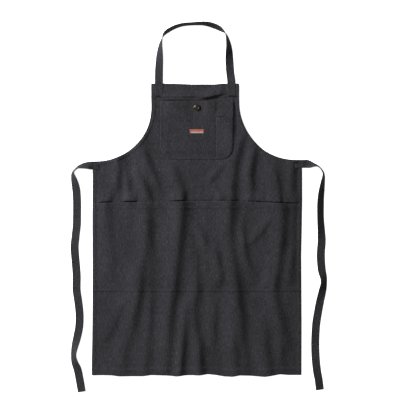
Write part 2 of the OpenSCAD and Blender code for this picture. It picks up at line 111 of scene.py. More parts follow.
# Each fold: the widths of its steep right side and of its long left side, and the route of the steep side
# as (x, y, height), from top to bottom
FOLDS = [
    (15, 18, [(-228, 655, 8), (-229, 600, 8), (-232, 565, 5.5), (-234, 535, 0)]),
    (12, 10, [(-212, 640, 1), (-206, 600, 4.4), (-201, 560, 5), (-196, 525, 4), (-192, 500, 0)]),
    (12, 16, [(-182, 618, 0), (-170, 598, 5.4), (-154, 568, 6.4), (-140, 540, 6), (-134, 515, 2.4)]),
    (13, 18, [(-160, 715, 0.5), (-168, 690, 2.6), (-172, 660, 2.6), (-174, 635, 0)]),
    (12, 20, [(-158, 690, 0), (-150, 660, 3.8), (-138, 628, 5.8), (-125, 600, 6), (-114, 572, 5.2),
              (-103, 542, 0)]),
    (19, 27, [(-74, 645, 0), (-65, 622, 5), (-56, 600, 8), (-47, 575, 8.6), (-38, 550, 9.2), (-33, 510, 9),
              (-37, 470, 9.4), (-40, 430, 9.8), (-46, 380, 9.8), (-49, 340, 9.6), (-54, 300, 9.6),
              (-60, 250, 9.6),
              (-68, 200, 9.6), (-73, 160, 9.4), (-76, 100, 8), (-78, 60, 6.5), (-81, 20, 5), (-82, -10, 4)]),
    (10, 20, [(-84, 455, 0), (-84, 420, 1.8), (-82, 380, 1.6), (-84, 325, 0)]),
    (18, 29, [(-150, 525, 4), (-150, 490, 6), (-144, 460, 9), (-145, 420, 9), (-144, 385, 7), (-150, 350, 6),
              (-157, 320, 8), (-160, 290, 9.5), (-164, 255, 10.5), (-168, 220, 10.5), (-177, 180, 9),
              (-181, 150, 7.5),
              (-190, 120, 5), (-200, 90, 5), (-209, 65, 4), (-213, 30, 3.4), (-212, -10, 2.4)]),
    (13, 26, [(-256, 525, 1), (-256, 460, 2.6), (-260, 420, 2.6), (-255, 388, 2.4), (-250, 352, 3.4),
              (-252, 310, 2.8),
              (-250, 265, 0)]),
    (13, 30, [(-207, 236, 0), (-215, 212, 2.8), (-226, 188, 3.3), (-240, 155, 3.6), (-252, 125, 3.2),
              (-267, 98, 3.2),
              (-276, 66, 0)]),
    (14, 26, [(-135, 245, 0), (-133, 200, 2.4), (-137, 145, 3), (-143, 110, 2.4), (-148, 75, 3.8),
              (-147, 30, 4.4),
              (-148, -10, 4.4)]),
    (14, 16, [(-20, 228, 0), (-26, 195, 5), (-29, 155, 6.2), (-32, 120, 7.4), (-36, 80, 8.8), (-38, 40, 9.4),
              (-42, -10, 9.4)]),
    (15, 20, [(-8, 430, 0), (-4, 400, 2), (4, 350, 2.8), (4, 300, 3.4), (5, 262, 6.4), (6, 240, 6.8),
              (2, 212, 6),
              (-1, 180, 6.4), (-2, 155, 6.8), (3, 130, 6.4), (11, 108, 7), (17, 80, 8.8), (16, 50, 9.6),
              (18, 15, 9.6),
              (20, -10, 8.6)]),
    (11, 15, [(-2, 465, 0), (10, 440, 4), (22, 416, 5.6), (30, 390, 5), (36, 360, 0)]),
    (13, 20, [(54, 398, 0), (64, 366, 6.6), (70, 335, 7.4), (77, 305, 6.4), (79, 280, 5), (70, 248, 0)]),
    (12, 26, [(62, 230, 0), (60, 195, 4.2), (58, 150, 4.6), (57, 115, 4), (60, 80, 2.6), (60, 45, 0)]),
    (18, 28, [(152, 730, 3), (142, 700, 7), (135, 675, 8.8), (127, 650, 9), (120, 620, 9.2), (118, 590, 9.2),
              (112, 560, 9), (106, 530, 9), (106, 500, 9), (109, 460, 9), (107, 425, 8.4), (111, 400, 8),
              (114, 370, 6.8), (118, 335, 7), (120, 310, 8), (126, 280, 9), (131, 250, 9.6), (132, 215, 10.2),
              (137, 180, 10.2), (141, 150, 10), (143, 120, 9), (147, 90, 6.5), (153, 50, 0)]),
    (18, 26, [(108, 215, 0), (111, 180, 3), (114, 150, 4.6), (116, 118, 6.4), (119, 90, 9),
              (121, 60, 10), (124, 30, 10),
              (128, -10, 8)]),
    (15, 20, [(148, 84, 0), (153, 55, 5), (156, 20, 5.6), (158, -10, 5)]),
    (15, 20, [(183, 695, 3), (179, 665, 7), (172, 640, 8.2), (167, 615, 9.2), (164, 595, 9.2),
              (167, 570, 7.6),
              (169, 545, 5), (166, 520, 3), (160, 490, 0)]),
    (12, 18, [(140, 485, 0), (142, 445, 3), (144, 415, 5.6), (147, 385, 6.4), (152, 355, 5.8),
              (158, 330, 4.8),
              (168, 312, 4), (178, 298, 3.4), (188, 280, 0)]),
    (10, 18, [(229, 488, 0), (218, 458, 3), (203, 430, 3.8), (188, 410, 3.4), (172, 392, 2.6),
              (158, 374, 0)]),
    (19, 30, [(234, 655, 1), (241, 620, 5), (246, 590, 7), (250, 555, 7.6), (258, 520, 8), (265, 490, 7.6),
              (266, 450, 7.6), (264, 415, 8.8), (260, 380, 9.8), (257, 345, 9.8), (252, 310, 9.4),
              (245, 280, 9.4),
              (241, 250, 9.6), (245, 220, 9.4), (252, 190, 8.8), (259, 160, 8), (265, 130, 7), (273, 105, 5),
              (285, 80, 3.4), (296, 52, 0)]),
    (20, 30, [(214, 190, 0), (211, 160, 3.6), (210, 130, 5.4), (211, 100, 6.8), (215, 70, 8.2),
              (220, 40, 8.8),
              (226, 10, 8.4), (229, -10, 7)]),
    (14, 20, [(262, 110, 0), (262, 80, 4.2), (262, 52, 4.4), (264, 30, 3.6), (268, 8, 2)]),
    (13, 18, [(297, 648, 5), (294, 610, 6), (291, 575, 5.2), (291, 545, 3.6), (290, 515, 0)]),
    (12, 22, [(297, 390, 0), (292, 350, 2.6), (286, 310, 3), (282, 280, 2.6), (284, 235, 0)]),
    (9, 14, [(92, 648, 0), (78, 625, 2.4), (63, 603, 3), (50, 583, 2.8), (38, 568, 0)]),
    (10, 14, [(50, 578, 0), (60, 558, 3), (68, 538, 3.4), (73, 515, 2.4), (74, 495, 0)]),
    (9, 30, [(112, 838, 1), (115, 800, 4.4), (115, 760, 5), (114, 720, 5), (111, 692, 4),
             (104, 668, 2.5), (96, 652, 0)]),
    (10, 20, [(-112, 790, 0), (-110, 750, 1.6), (-100, 705, 2), (-88, 670, 1.4), (-76, 650, 0)]),
]
ROWS = np.arange(-60.0, 940.0, 2.0)
EASE = np.hanning(19)[1:-1] / np.hanning(19).sum()


def eased(values):
    """Values at ROWS without their corners."""
    return np.convolve(np.pad(values, 8, mode="edge"), EASE, mode="valid")


def folds(x, y):
    z = np.zeros_like(x)
    for right, left, route in FOLDS:
        px, py, heights = np.array(route[::-1], float).T
        steep = eased(np.interp(ROWS, py, px))
        height = eased(np.interp(ROWS, py, heights))
        lean = np.interp(y, ROWS, np.gradient(steep, ROWS))
        across = (x - np.interp(y, ROWS, steep)) / np.sqrt(1 + lean**2) + 0.7 * right
        z += np.interp(y, ROWS, height) * np.where(across < 0, hump(across / left), hump(across / right))
    return z


def drift(x, y, wide, long, seed):
    """Smooth random heights between -1 and 1, with cells wide by long."""
    u, v = np.broadcast_arrays(x / wide + 40.0, y / long + 40.0)
    grid = np.random.default_rng(seed).uniform(-1, 1, (96, 96))
    i, j = np.floor(u).astype(int), np.floor(v).astype(int)
    s, t = smooth(u - i), smooth(v - j)
    i, j = i % 95, j % 95
    low = grid[i, j] * (1 - s) + grid[i + 1, j] * s
    high = grid[i, j + 1] * (1 - s) + grid[i + 1, j + 1] * s
    return low * (1 - t) + high * t


def creases(x, y, wide, long, seed):
    """Low rounded ridges that meet in soft valleys, in a wandering net."""
    warp = drift(x, y, wide * 2.1, long * 0.8, seed + 50) * wide * 0.9
    return 1 - np.sqrt(drift(x + warp, y, wide, long, seed) ** 2 + 0.03)


def ripples(x, y):
    """Faint waves and creases, mostly upright, as cloth keeps from being folded."""
    on_bib = smooth((y - CORNER) / 60)
    z = 1.5 * creases(x, y, 44, 130, 3) * (1 - 0.4 * on_bib)
    z += 0.9 * creases(x + 0.35 * y, y, 30, 80, 11) * (1 - 0.3 * on_bib)
    z += 0.3 * drift(x, y, 13, 40, 23)
    return z


# Ridges of the layer behind each pocket mouth: x from, x to, height, how far above the mouth they run
MOUTH_RIDGES = [
    (-304, -250, 4.6, 4), (-230, -174, 5.4, 4.5), (-84, -30, 5.4, 4.5), (-30, 52, 1.6, 4), (52, 90, 3.4, 4),
    (90, 128, 3.2, 4), (138, 214, 3.4, 4), (198, 262, 4.4, 4.5), (250, 312, 3.6, 4.5),
]
# Creases above the chest pocket's mouth, as x, y and height along each
CHEST_CREASES = [
    ([-118, -96, -72, -50, -28, -8, 10, 30, 52, 76, 90, 104],
     [826, 826, 826, 826, 826.5, 826.5, 828, 832, 837, 842, 844, 845],
     [0, 2.0, 3.2, 3.4, 2.6, 2.2, 3.6, 6.2, 7.2, 4.4, 1.2, 0]),
    ([-62, -50, -38, -24, -8, 4], [845, 842, 837, 834.5, 835, 836], [0, 1.2, 1.8, 1.8, 1.2, 0]),
]


def mouth_sag(x):
    """The lower pockets' mouth line is a few millimetres higher in the middle than at the sides."""
    return 2 - 8 * np.abs(x / HALF_W) ** 1.5 + 1.2 * np.sin(x / 60.0)


def mouth_ridges(x, y):
    above = y - MOUTH - mouth_sag(x)
    z = np.zeros_like(x)
    for left, right, height, near in MOUTH_RIDGES:
        along = smooth((x - left) / 18) * smooth((right - x) / 18)
        z = np.maximum(z, height * along
                       * np.where(above > near, hump((above - near) / 24), smooth(above / near)))
    for at, crease, heights in CHEST_CREASES:
        above = y - np.interp(x, at, crease)
        z += np.interp(x, at, heights) * np.where(above > 0, hump(above / 18), smooth(1 + above / 5.5))
    return z


def near_button(x, y):
    """1 round the button and its tack, where the cloth is held flat, and 0 from about 40 mm away."""
    gap_y = np.maximum(0, (BUTTON_Y - BUTTONHOLE - 6) - y) + np.maximum(0, y - BUTTON_Y)
    return 1 - smooth((np.hypot(x, gap_y) - 10) / 30)


def arm_depth(x, y):
    """How far a point is inside the nearer armhole's edge."""
    ax = np.abs(x)
    curve = np.hypot(ax - ARM_X, y - ARM_Y) - ARM_R
    return np.where(y > ARM_Y, BIB_HALF - ax, np.where(ax > ARM_X, CORNER - y, curve))


def turned(x, y):
    """1 over the turned hems and the facings, where a second layer lies under the panel."""
    step = 1.6
    rows = smooth((HEM + EDGE_ROW - y) / step + 0.5)
    rows = np.maximum(rows, smooth((y - TOP + BIB_HEM) / step + 1.2))
    side = smooth((np.abs(x) - HALF_W + SIDE_HEM) / step + 1.2) * (y < CORNER + 1)
    arm = smooth((FACING - arm_depth(x, y)) / step + 1.2)
    return np.maximum(np.maximum(rows, side), arm)


def ground(x, y):
    """Height of the panel's underside."""
    held = near_button(x, y)
    lift = (folds(x, y) + ripples(x, y) + mouth_ridges(x, y)) * (1 - held)
    return np.maximum(turned(x, y), held) * CLOTH + lift


def panel_top(x, y):
    return ground(x, y) + CLOTH


HEM_WAVE_X = [-310, -285, -255, -232, -185, -162, -138, -112, -90, -62, -38, -12, 12, 34, 58, 82, 107,
              131, 155, 180,
              204, 228, 252, 276, 310]
HEM_WAVE_Y = [-0.5, 0, -0.5, -3.5, -3, -2.5, 0.5, 0, -0.5, -3, -0.5, 0.5, 0.5, 3, 0.5, -3.5, -4, 0, -1, -3,
              -4.5, -1, 3, 0.5, 0.5]


def slide_x(x, y):
    """How far the cloth lies to the side of its flat cut.

    The bib and the hem lean left, the waist spreads a little.
    """
    beside = np.maximum(smooth((np.abs(x) - 104) / 28), smooth((y - CHEST_MOUTH - 2) / 26))
    u = x / HALF_W
    skirt = 1 - smooth((y - 600) / 90)
    left = -4.5 * smooth((300 - y) / 300) + np.interp(y, [0, 100, 250, 470, 628], [0.6, 1, -1.1, -1.8, -0.4])
    right = np.interp(y, [0, 150, 350, 430, 520, 640], [2, 2.5, 1.1, 2.8, 4.4, 3.8])
    return (-5.2 * smooth((y - 690) / 150) * beside
            + skirt * (left * (0.5 - 0.5 * u) + right * smooth(0.5 + 0.5 * u)))


def slide_y(x, y):
    hem = np.interp(x, HEM_WAVE_X, HEM_WAVE_Y) * smooth((52 - y) / 60)
    top = np.interp(x, [-130, -62, -12, 60, 86, 130], [4.2, 3.7, 1.7, 1.6, 4.2, 3.5]) * smooth((y - 836) / 34)
    corner = np.interp(x, [-HALF_W, -200, 200, HALF_W], [-2, 0, 0, 3]) * smooth((y - 560) / 70)
    return hem + top + corner


# ---------------------------------------------------------------- how the pockets stand off the panel
def pressed(distance, least=0.15):
    """The share of its thickness that a layer keeps near its sewn edge, where the stitches press it."""
    return least + (1 - least) * smooth(distance / 5)


def lobe(x, y, centre, half, mouth, depth, height):
    return height * hump((x - centre) / half) * hump((mouth - y) / depth)


def inside(distance, width):
    return smooth(distance / width)


def pen_slant(x):
    """The pen pocket's mouth is a little higher at its right end."""
    return 3.0 * (x - PEN_LOW[0]) / (PEN_HIGH[0] - PEN_LOW[0]) - 1.5


def chest_gap(x, y):
    edge = CHEST_HALF - np.abs(x)
    window = inside(edge - 4, 18) * inside(y - CHEST_BOTTOM - 6, 26)
    left = lobe(x, y, -68, 24, CHEST_MOUTH, 50, 3.2) * smooth((edge - 6) / 24)
    right = lobe(x, y, 34, 26, CHEST_MOUTH, 46, 2.4) * smooth((88 - x) / 44)
    above = y - PEN_MOUTH - pen_slant(x)
    behind_pen = 2.6 * smooth((x - PEN_LOW[0] + 2) / 7) * smooth((92 - x) / 16)
    behind_pen = behind_pen * np.where(above > 3, hump((above - 3) / 12), smooth(above / 3))
    belly = 2.2 * window * (1 + 0.25 * np.sin(x / 19.0 + y / 34.0))
    under_pen = 1 - 0.7 * smooth((x - PEN_LOW[0] + 6) / 10)
    return (belly * under_pen + left + right + behind_pen) * (1 - near_button(x, y)) * inside(edge - 3, 8)


def chest_top(x, y):
    turned_mouth = 0.7 * smooth((y - CHEST_MOUTH + 20) / 2)
    edge = pressed(x + CHEST_HALF, 0.05)
    return panel_top(x, y) + chest_gap(x, y) + CLOTH * edge + turned_mouth * (1 - near_button(x, y))


def pen_gap(x, y):
    u = (x - PEN_LOW[0]) / (PEN_HIGH[0] - PEN_LOW[0])
    arch = np.clip(np.sin(math.pi * np.clip(u, 0, 1)), 0, 1)
    mouth = lobe(x, y, PEN_LOW[0] + 15, 14, PEN_MOUTH, 16, 3.6)
    return arch * (1.0 * inside(y - CHEST_BOTTOM - 8, 30) + mouth)


def pen_top(x, y):
    edge = pressed(np.minimum(x - PEN_LOW[0], PEN_HIGH[0] - x), 0.05)
    return chest_top(x, y) + pen_gap(x, y) + CLOTH * edge + 0.5 * smooth((y - PEN_MOUTH + 14) / 2)


def lower_gap(x, y):
    side = HALF_W - SIDE_HEM - np.abs(x)
    frame_in = inside(side, 20) * inside(np.abs(x) - 3, 26) * inside(y - POCKET_BOTTOM - 8, 40)
    gap = 1.6 + 0.5 * np.sin(x / 41.0 + 0.6)
    for centre, half, depth, height in (
        (-276, 13, 60, 3.8), (-203, 20, 90, 3.6), (-60, 20, 80, 4.4), (104, 22, 60, 2.2), (228, 44, 95, 4.6),
    ):
        gap = gap + lobe(x, y, centre, half, MOUTH, depth, height)
    return gap * frame_in


def lower_top(x, y):
    edge = pressed(np.minimum(HALF_W - np.abs(x), y - POCKET_BOTTOM), 0.08)
    return panel_top(x, y) + lower_gap(x, y) + CLOTH * edge + 0.7 * smooth((y - MOUTH + 22) / 2)


# ---------------------------------------------------------------- meshes
def laid(x, y, z):
    """Points on the flat cut, moved to where the cloth lies, in metres."""
    return np.stack([x + slide_x(x, y), y + slide_y(x, y), z], -1) * MM


def new_mesh(name, points, faces, uv=None, seam=None, smooth_shade=True):
    mesh = bpy.data.meshes.new(name)
    mesh.from_pydata(points.reshape(-1, 3).tolist(), [], faces)
    if uv is not None:
        layer = mesh.uv_layers.new(name="cut")
        index = np.empty(len(mesh.loops), np.int32)
        mesh.loops.foreach_get("vertex_index", index)
        layer.data.foreach_set("uv", uv.reshape(-1, 2)[index].astype(np.float32).ravel())
    if seam is not None:
        attribute = mesh.attributes.new("seam", "FLOAT", "POINT")
        attribute.data.foreach_set("value", seam.astype(np.float32).ravel())
    mesh.update()
    if smooth_shade:
        mesh.shade_smooth()
    obj = bpy.data.objects.new(name, mesh)
    bpy.context.collection.objects.link(obj)
    return obj


def shell(name, low, high, uv, seam=None, bulge=0.35):
    """A closed sheet between two grids of points (rows, columns, 3), with a rounded rim."""
    rows, cols = low.shape[:2]
    n = rows * cols
    ring = (
        [(0, c) for c in range(cols)] + [(r, cols - 1) for r in range(1, rows)]
        + [(rows - 1, c) for c in range(cols - 2, -1, -1)] + [(r, 0) for r in range(rows - 2, 0, -1)]
    )
    edge = np.array([r * cols + c for r, c in ring])
    inner = np.array([
        min(max(r, 1), rows - 2) * cols + min(max(c, 1), cols - 2) for r, c in ring
    ])
    flat_low, flat_high = low.reshape(-1, 3), high.reshape(-1, 3)
    out = flat_low[edge] - flat_low[inner]
    out /= np.maximum(np.linalg.norm(out, axis=1, keepdims=True), 1e-9)
    thick = np.linalg.norm(flat_high[edge] - flat_low[edge], axis=1, keepdims=True)
    middle = (flat_low[edge] + flat_high[edge]) / 2 + out * thick * bulge
    points = np.concatenate([flat_low, flat_high, middle])
    r, c = np.meshgrid(np.arange(rows - 1), np.arange(cols - 1), indexing="ij")
    i = (r * cols + c).ravel()
    under = np.stack([i, i + cols, i + cols + 1, i + 1], -1)
    over = np.stack([i, i + 1, i + cols + 1, i + cols], -1) + n
    k = np.arange(len(edge))
    after = (k + 1) % len(edge)
    rim_low = np.stack([edge[k], edge[after], 2 * n + after, 2 * n + k], -1)
    rim_high = np.stack([2 * n + k, 2 * n + after, n + edge[after], n + edge[k]], -1)
    faces = np.concatenate([under, over, rim_low, rim_high]).tolist()
    flat_uv = uv.reshape(-1, 2)
    all_uv = np.concatenate([flat_uv, flat_uv, flat_uv[edge]])
    flat_seam = np.zeros(n) if seam is None else seam.ravel()
    all_seam = np.concatenate([flat_seam, flat_seam, flat_seam[edge]])
    return new_mesh(name, points, faces, all_uv, all_seam)


def sewn_sheet(name, x, y, under, over, seam=None):
    """A sheet on the flat cut: under and over are height functions, and its weave follows the cut."""
    low, high = laid(x, y, under(x, y)), laid(x, y, over(x, y))
    seam_value = np.zeros_like(x) if seam is None else seam(x, y)
    return shell(name, low, high, np.stack([x, y], -1) * MM, seam_value)


def steps(a, b, size):
    return np.linspace(a, b, max(3, int(round(abs(b - a) / size)) + 1))


def close_to(distance, width=3.5):
    return np.exp(-((distance / width) ** 2))


# Near the panel's seams and folded edges, where the denim is paler: partly wear, partly painted highlight.
def panel_seam(x, y):
    side = HALF_W - np.abs(x)
    arm = np.where(y > CORNER - 12, arm_depth(x, y), 99)
    value = np.maximum(close_to(side - HEM_ROW), close_to(side))
    value = np.maximum(value, np.maximum(close_to(y - HEM + EDGE_ROW), close_to(y - BOTTOM)))
    value = np.maximum(value, np.maximum(close_to(y - TOP + BIB_HEM - EDGE_ROW), close_to(y - TOP)))
    return np.maximum(value, np.maximum(close_to(arm), close_to(arm - HEM_ROW)))


def body_grid():
    """Rows of the skirt, then rows of the bib that follow the armholes."""
    cols = int(round(2 * HALF_W / GRID)) + 1
    u = np.linspace(-1, 1, cols)
    skirt_y = np.concatenate([
        steps(BOTTOM, MOUTH - 6, GRID), steps(MOUTH - 6, MOUTH + 14, GRID / 2)[1:],
        steps(MOUTH + 14, CORNER, GRID)[1:]])
    x = [u * HALF_W] * len(skirt_y)
    y = [np.full(cols, v) for v in skirt_y]
    flat = HALF_W - ARM_X
    arc = ARM_R * math.pi / 2
    whole = flat + arc + TOP - ARM_Y
    for s in np.concatenate([steps(0, flat + arc, GRID)[1:], steps(flat + arc, whole, GRID / 2)[1:]]):
        angle = min(max(s - flat, 0), arc) / ARM_R
        edge_x = HALF_W - min(s, flat) - ARM_R * math.sin(angle)
        edge_y = CORNER + ARM_R * (1 - math.cos(angle)) + max(0, s - flat - arc)
        middle_y = CORNER + (TOP - CORNER) * s / whole
        x.append(u * edge_x)
        y.append(middle_y + (edge_y - middle_y) * np.abs(u) ** 2.2)
    return np.array(x), np.array(y)


def make_body():
    x, y = body_grid()
    piece = sewn_sheet("body_cloth", x, y, ground, panel_top, panel_seam)
    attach(piece, "root")
    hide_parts("body_panel")
    return piece


def hem_strips():
    """The turned hems under the panel, as four narrow sheets in one piece."""
    found = []
    over = lambda x, y: ground(x, y) - 0.02
    under = lambda x, y: ground(x, y) - CLOTH + 0.06
    spans = [
        ((-HALF_W + 0.4, HALF_W - 0.4), (BOTTOM + 0.3, HEM)),
        ((-BIB_HALF + 0.4, BIB_HALF - 0.4), (TOP - BIB_HEM, TOP - 0.3)),
        ((-HALF_W + 0.4, -HALF_W + SIDE_HEM), (HEM + 0.5, CORNER - 0.4)),
        ((HALF_W - SIDE_HEM, HALF_W - 0.4), (HEM + 0.5, CORNER - 0.4)),
    ]
    for i, ((x0, x1), (y0, y1)) in enumerate(spans):
        x, y = np.meshgrid(steps(x0, x1, GRID), steps(y0, y1, GRID))
        found.append(sewn_sheet(f"turned_hem_{i}", x, y, under, over, panel_seam))
    return join(found, "turned_hems")


def join(objects, name):
    """One object made of several, first one first."""
    with bpy.context.temp_override(active_object=objects[0], selected_editable_objects=objects):
        bpy.ops.object.join()
    objects[0].name = name
    objects[0].data.name = name
    return objects[0]


def facing(side):
    """The curved strip behind an armhole edge."""
    along = steps(0, 1, GRID / (ARM_R * 1.8))
    across = np.linspace(0.4, FACING, 4)
    arc = ARM_R * math.pi / 2
    whole = arc + TOP - BIB_HEM - ARM_Y
    s, w = np.meshgrid(along * whole, across)
    angle = np.minimum(s, arc) / ARM_R
    x = ARM_X - (ARM_R + w) * np.sin(angle)
    y = ARM_Y - (ARM_R + w) * np.cos(angle) + np.maximum(0, s - arc) - 0.3
    if side < 0:
        x, y = -x[:, ::-1], y[:, ::-1]
    over = lambda x, y: ground(x, y) - 0.02
    under = lambda x, y: ground(x, y) - CLOTH + 0.06
    word = "left" if side < 0 else "right"
    piece = sewn_sheet(f"armhole_facing_cloth_{word}", x[::-1], y[::-1], under, over, panel_seam)
    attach(piece, "root")
    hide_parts(f"armhole_facing_{word}")
    return piece


def chest_grid():
    """Rows that follow the rounded bottom corners."""
    r = CHEST_CORNER
    curved = [r * (1 - math.cos(a)) for a in np.linspace(0, math.pi / 2, 12)][:-1]
    size = GRID * 0.8
    rows = np.array([CHEST_BOTTOM + c for c in curved] + list(steps(CHEST_BOTTOM + r, CHEST_MOUTH, size)))
    drop = np.maximum(0, CHEST_BOTTOM + r - rows)
    half = CHEST_HALF - r + np.sqrt(np.maximum(0, r * r - drop * drop))
    u = np.linspace(-1, 1, int(round(2 * CHEST_HALF / size)) + 1)
    return u[None, :] * half[:, None], np.repeat(rows[:, None], len(u), 1)


# Near the chest pocket's seams and folded mouth, where the denim is paler: partly wear, partly painted
# highlight.
def chest_seam(x, y):
    edge = np.minimum(CHEST_HALF - np.abs(x), y - CHEST_BOTTOM)
    dx = np.maximum(0, np.abs(x) - CHEST_HALF + CHEST_CORNER)
    dy = np.maximum(0, CHEST_BOTTOM + CHEST_CORNER - y)
    round_edge = CHEST_CORNER - np.hypot(dx, dy)
    edge = np.where((dx > 0) & (dy > 0), round_edge, edge)
    return np.maximum(np.maximum(close_to(edge), close_to(edge - EDGE_ROW)), close_to(CHEST_MOUTH - y, 2.5))


def make_chest_pocket():
    x, y = chest_grid()
    under = lambda x, y: panel_top(x, y) + chest_gap(x, y) + 0.02
    piece = sewn_sheet("chest_pocket_cloth", x, y, under, chest_top, chest_seam)
    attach(piece, "root")
    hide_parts("chest_pocket")
    return piece


def make_pen_pocket():
    inset = CHEST_HALF - PEN_HIGH[0]
    r = CHEST_CORNER - inset
    low = CHEST_BOTTOM + inset
    size = GRID * 0.7
    x_line = steps(PEN_LOW[0], PEN_HIGH[0], size)
    past = np.maximum(0, x_line - (PEN_HIGH[0] - r))
    bottom = low + r - np.sqrt(np.maximum(0, r * r - past * past))
    bottom = np.minimum(bottom, low + r - 0.5)
    v = np.linspace(0, 1, int(round((PEN_MOUTH - low) / size)) + 1)[:, None]
    x = np.repeat(x_line[None, :], len(v), 0)
    y = bottom[None, :] * (1 - v) + (PEN_MOUTH + pen_slant(x_line))[None, :] * v
    under = lambda x, y: chest_top(x, y) + pen_gap(x, y) + 0.02
    seam = lambda x, y: np.maximum(
        np.maximum(close_to(x - PEN_LOW[0]), close_to(PEN_HIGH[0] - x)), close_to(PEN_MOUTH - y, 2.5))
    piece = sewn_sheet("pen_pocket_cloth", x, y, under, pen_top, seam)
    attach(piece, "root")
    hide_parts("pen_pocket")
    size = ((PEN_HIGH[0] - PEN_LOW[0]) * MM, (PEN_MOUTH - PEN_LOW[1]) * MM)
    return piece


# Near the lower pockets' seams and folded mouth, where the denim is paler: partly wear, partly painted
# highlight.
def lower_seam(x, y):
    side = HALF_W - np.abs(x)
    value = np.maximum(close_to(side - HEM_ROW), close_to(np.abs(x), 3))
    value = np.maximum(value, close_to(y - POCKET_BOTTOM - 3, 4.5))
    return np.maximum(value, np.maximum(close_to(MOUTH - y, 2.5), 0.4 * close_to(MOUTH - 20 - y)))


def make_lower_pockets():
    size = GRID
    x_line = steps(-HALF_W + 0.3, HALF_W - 0.3, size)
    v = np.linspace(0, 1, int(round((MOUTH - POCKET_BOTTOM) / size)) + 1)[:, None]
    x = np.repeat(x_line[None, :], len(v), 0)
    y = POCKET_BOTTOM + v * (MOUTH - POCKET_BOTTOM + mouth_sag(x_line)[None, :])
    under = lambda x, y: panel_top(x, y) + lower_gap(x, y) + 0.02
    piece = sewn_sheet("lower_pocket_cloth", x, y, under, lower_top, lower_seam)
    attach(piece, "root")
    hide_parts("lower_pocket_panel")
    return piece


# ---------------------------------------------------------------- straps
# The same routes as the CAD straps: x, y above the seam's start, and roll in degrees
NECK_ROUTE = [
    (-110, 0, 0), (-110, 22, 3), (-109.8, 40, 8), (-109, 58, 15), (-108, 75, 24), (-107, 95, 38),
    (-105, 118, 60), (-102, 133, 75), (-99, 143, 86), (-95, 151, 97), (-89, 157.5, 104), (-80, 164, 108),
    (-61, 174, 106), (-38, 181, 103), (-12, 183.5, 101), (11, 184.5, 104), (27, 184.5, 109),
    (43, 182, 116), (56, 178, 119), (66, 174, 119), (75, 169, 115), (81.5, 164.5, 105), (87, 160, 94),
    (91.5, 155.5, 83), (95, 148, 74), (98, 139, 66), (101, 124, 52), (102.5, 112, 42), (103.2, 95, 26),
    (103.6, 78, 14), (104.6, 60, 7), (106.2, 39, 3), (108.4, 20, 2), (110, 0, 0),
]
LEFT_ROUTE = [
    (0, 628, 0), (6, 628, 9), (13, 628, 23), (25, 626.5, 40), (35, 624, 54), (44, 621, 67),
    (52.5, 614, 74), (58.5, 606.5, 70), (60, 598, 58), (58, 588, 43), (56, 579, 31), (53, 565, 16),
    (50.5, 548, 5), (49, 523, 2), (48.7, 502, 0), (49, 470, 0), (49.5, 445, 2), (53, 412, 6),
    (56, 378, 2), (53.5, 340, 0), (50, 295, 0), (50, 250, 2), (45, 214, 4), (41, 175, 0), (42, 138, 2),
    (48, 106, 8), (55, 76, 30), (58, 52, 42), (55, 30, 28), (47, 8, 8), (42, -16, 4), (38, -38, 4),
    (34, -60, 8),
]
RIGHT_ROUTE = [
    (0, 628, 0), (8, 628.5, 2), (16, 629, 6), (26, 628.5, 26), (36, 628, 52), (44, 627, 68),
    (52.5, 623.5, 77), (61.5, 614.5, 79), (67.5, 603.5, 74), (68.3, 595, 68), (67.5, 586, 60),
    (65, 567, 48), (63, 552, 40), (60.5, 531, 33), (59.4, 502, 28), (59.6, 466, 28), (61.5, 436, 22),
    (63, 412, 10), (63.5, 395, 4), (61, 355, 0), (63.5, 312, 8), (68.5, 288, 28), (69.5, 270, 34),
    (66, 248, 18), (59, 216, 6), (53, 184, 2), (47, 146, 0), (44.5, 110, 4), (44, 76, 0), (45.5, 40, 0),
    (49.5, 2, 4), (54, -22, 8), (58, -54, 8),
]


def spline(points, per):
    p = np.array(points, float)
    padded = np.concatenate([p[:1], p, p[-1:]])
    found = []
    for a, b, c, d in zip(padded, padded[1:], padded[2:], padded[3:]):
        t = np.arange(per)[:, None] / per
        found.append(0.5 * (2 * b + (c - a) * t + (2 * a - 5 * b + 4 * c - d) * t**2
                            + (3 * b - a - 3 * c + d) * t**3))
    return np.concatenate(found + [p[-1:]])


def tapered(length):
    """The share of its thickness that a sewn strap end keeps, pressed thin under its stitches."""
    return 0.15 + 0.85 * smooth(length / 10)


def strap_frames(route, lead, tail):
    """Centres, directions across and off the face, and thickness along a strap, with its sewn ends added."""
    p = spline(route, 8)
    if len(lead):
        p = np.concatenate([np.array(lead, float), p])
    if len(tail):
        p = np.concatenate([p, np.array(tail, float)])
    travel = np.gradient(p[:, :2], axis=0)
    travel /= np.linalg.norm(travel, axis=1, keepdims=True)
    roll = np.radians(p[:, 2])
    zero = np.zeros(len(p))
    out = np.stack([-travel[:, 1], travel[:, 0], zero], -1)
    up = np.array([0.0, 0.0, 1.0])
    wide = np.cos(roll)[:, None] * out - np.sin(roll)[:, None] * up
    face = np.sin(roll)[:, None] * out + np.cos(roll)[:, None] * up
    length = np.concatenate([[0], np.cumsum(np.linalg.norm(np.diff(p[:, :2], axis=0), axis=1))])
    sewn = length < (np.linalg.norm(np.array(lead[0])[:2] - p[len(lead), :2]) if len(lead) else 0)
    if len(tail):
        sewn |= length > length[-1] - BIB_HEM
    thick = STRAP_T * (1 - 0.5 * np.convolve(np.pad(sewn.astype(float), 2, mode="edge"), np.ones(5) / 5,
                                             mode="valid"))
    thick = thick * tapered(length)
    if len(tail):
        thick = thick * tapered(length[-1] - length)
    rest = STRAP_W / 2 * np.abs(np.sin(roll)) + thick / 2 * np.abs(np.cos(roll))
    return p, wide, face, rest, length, thick
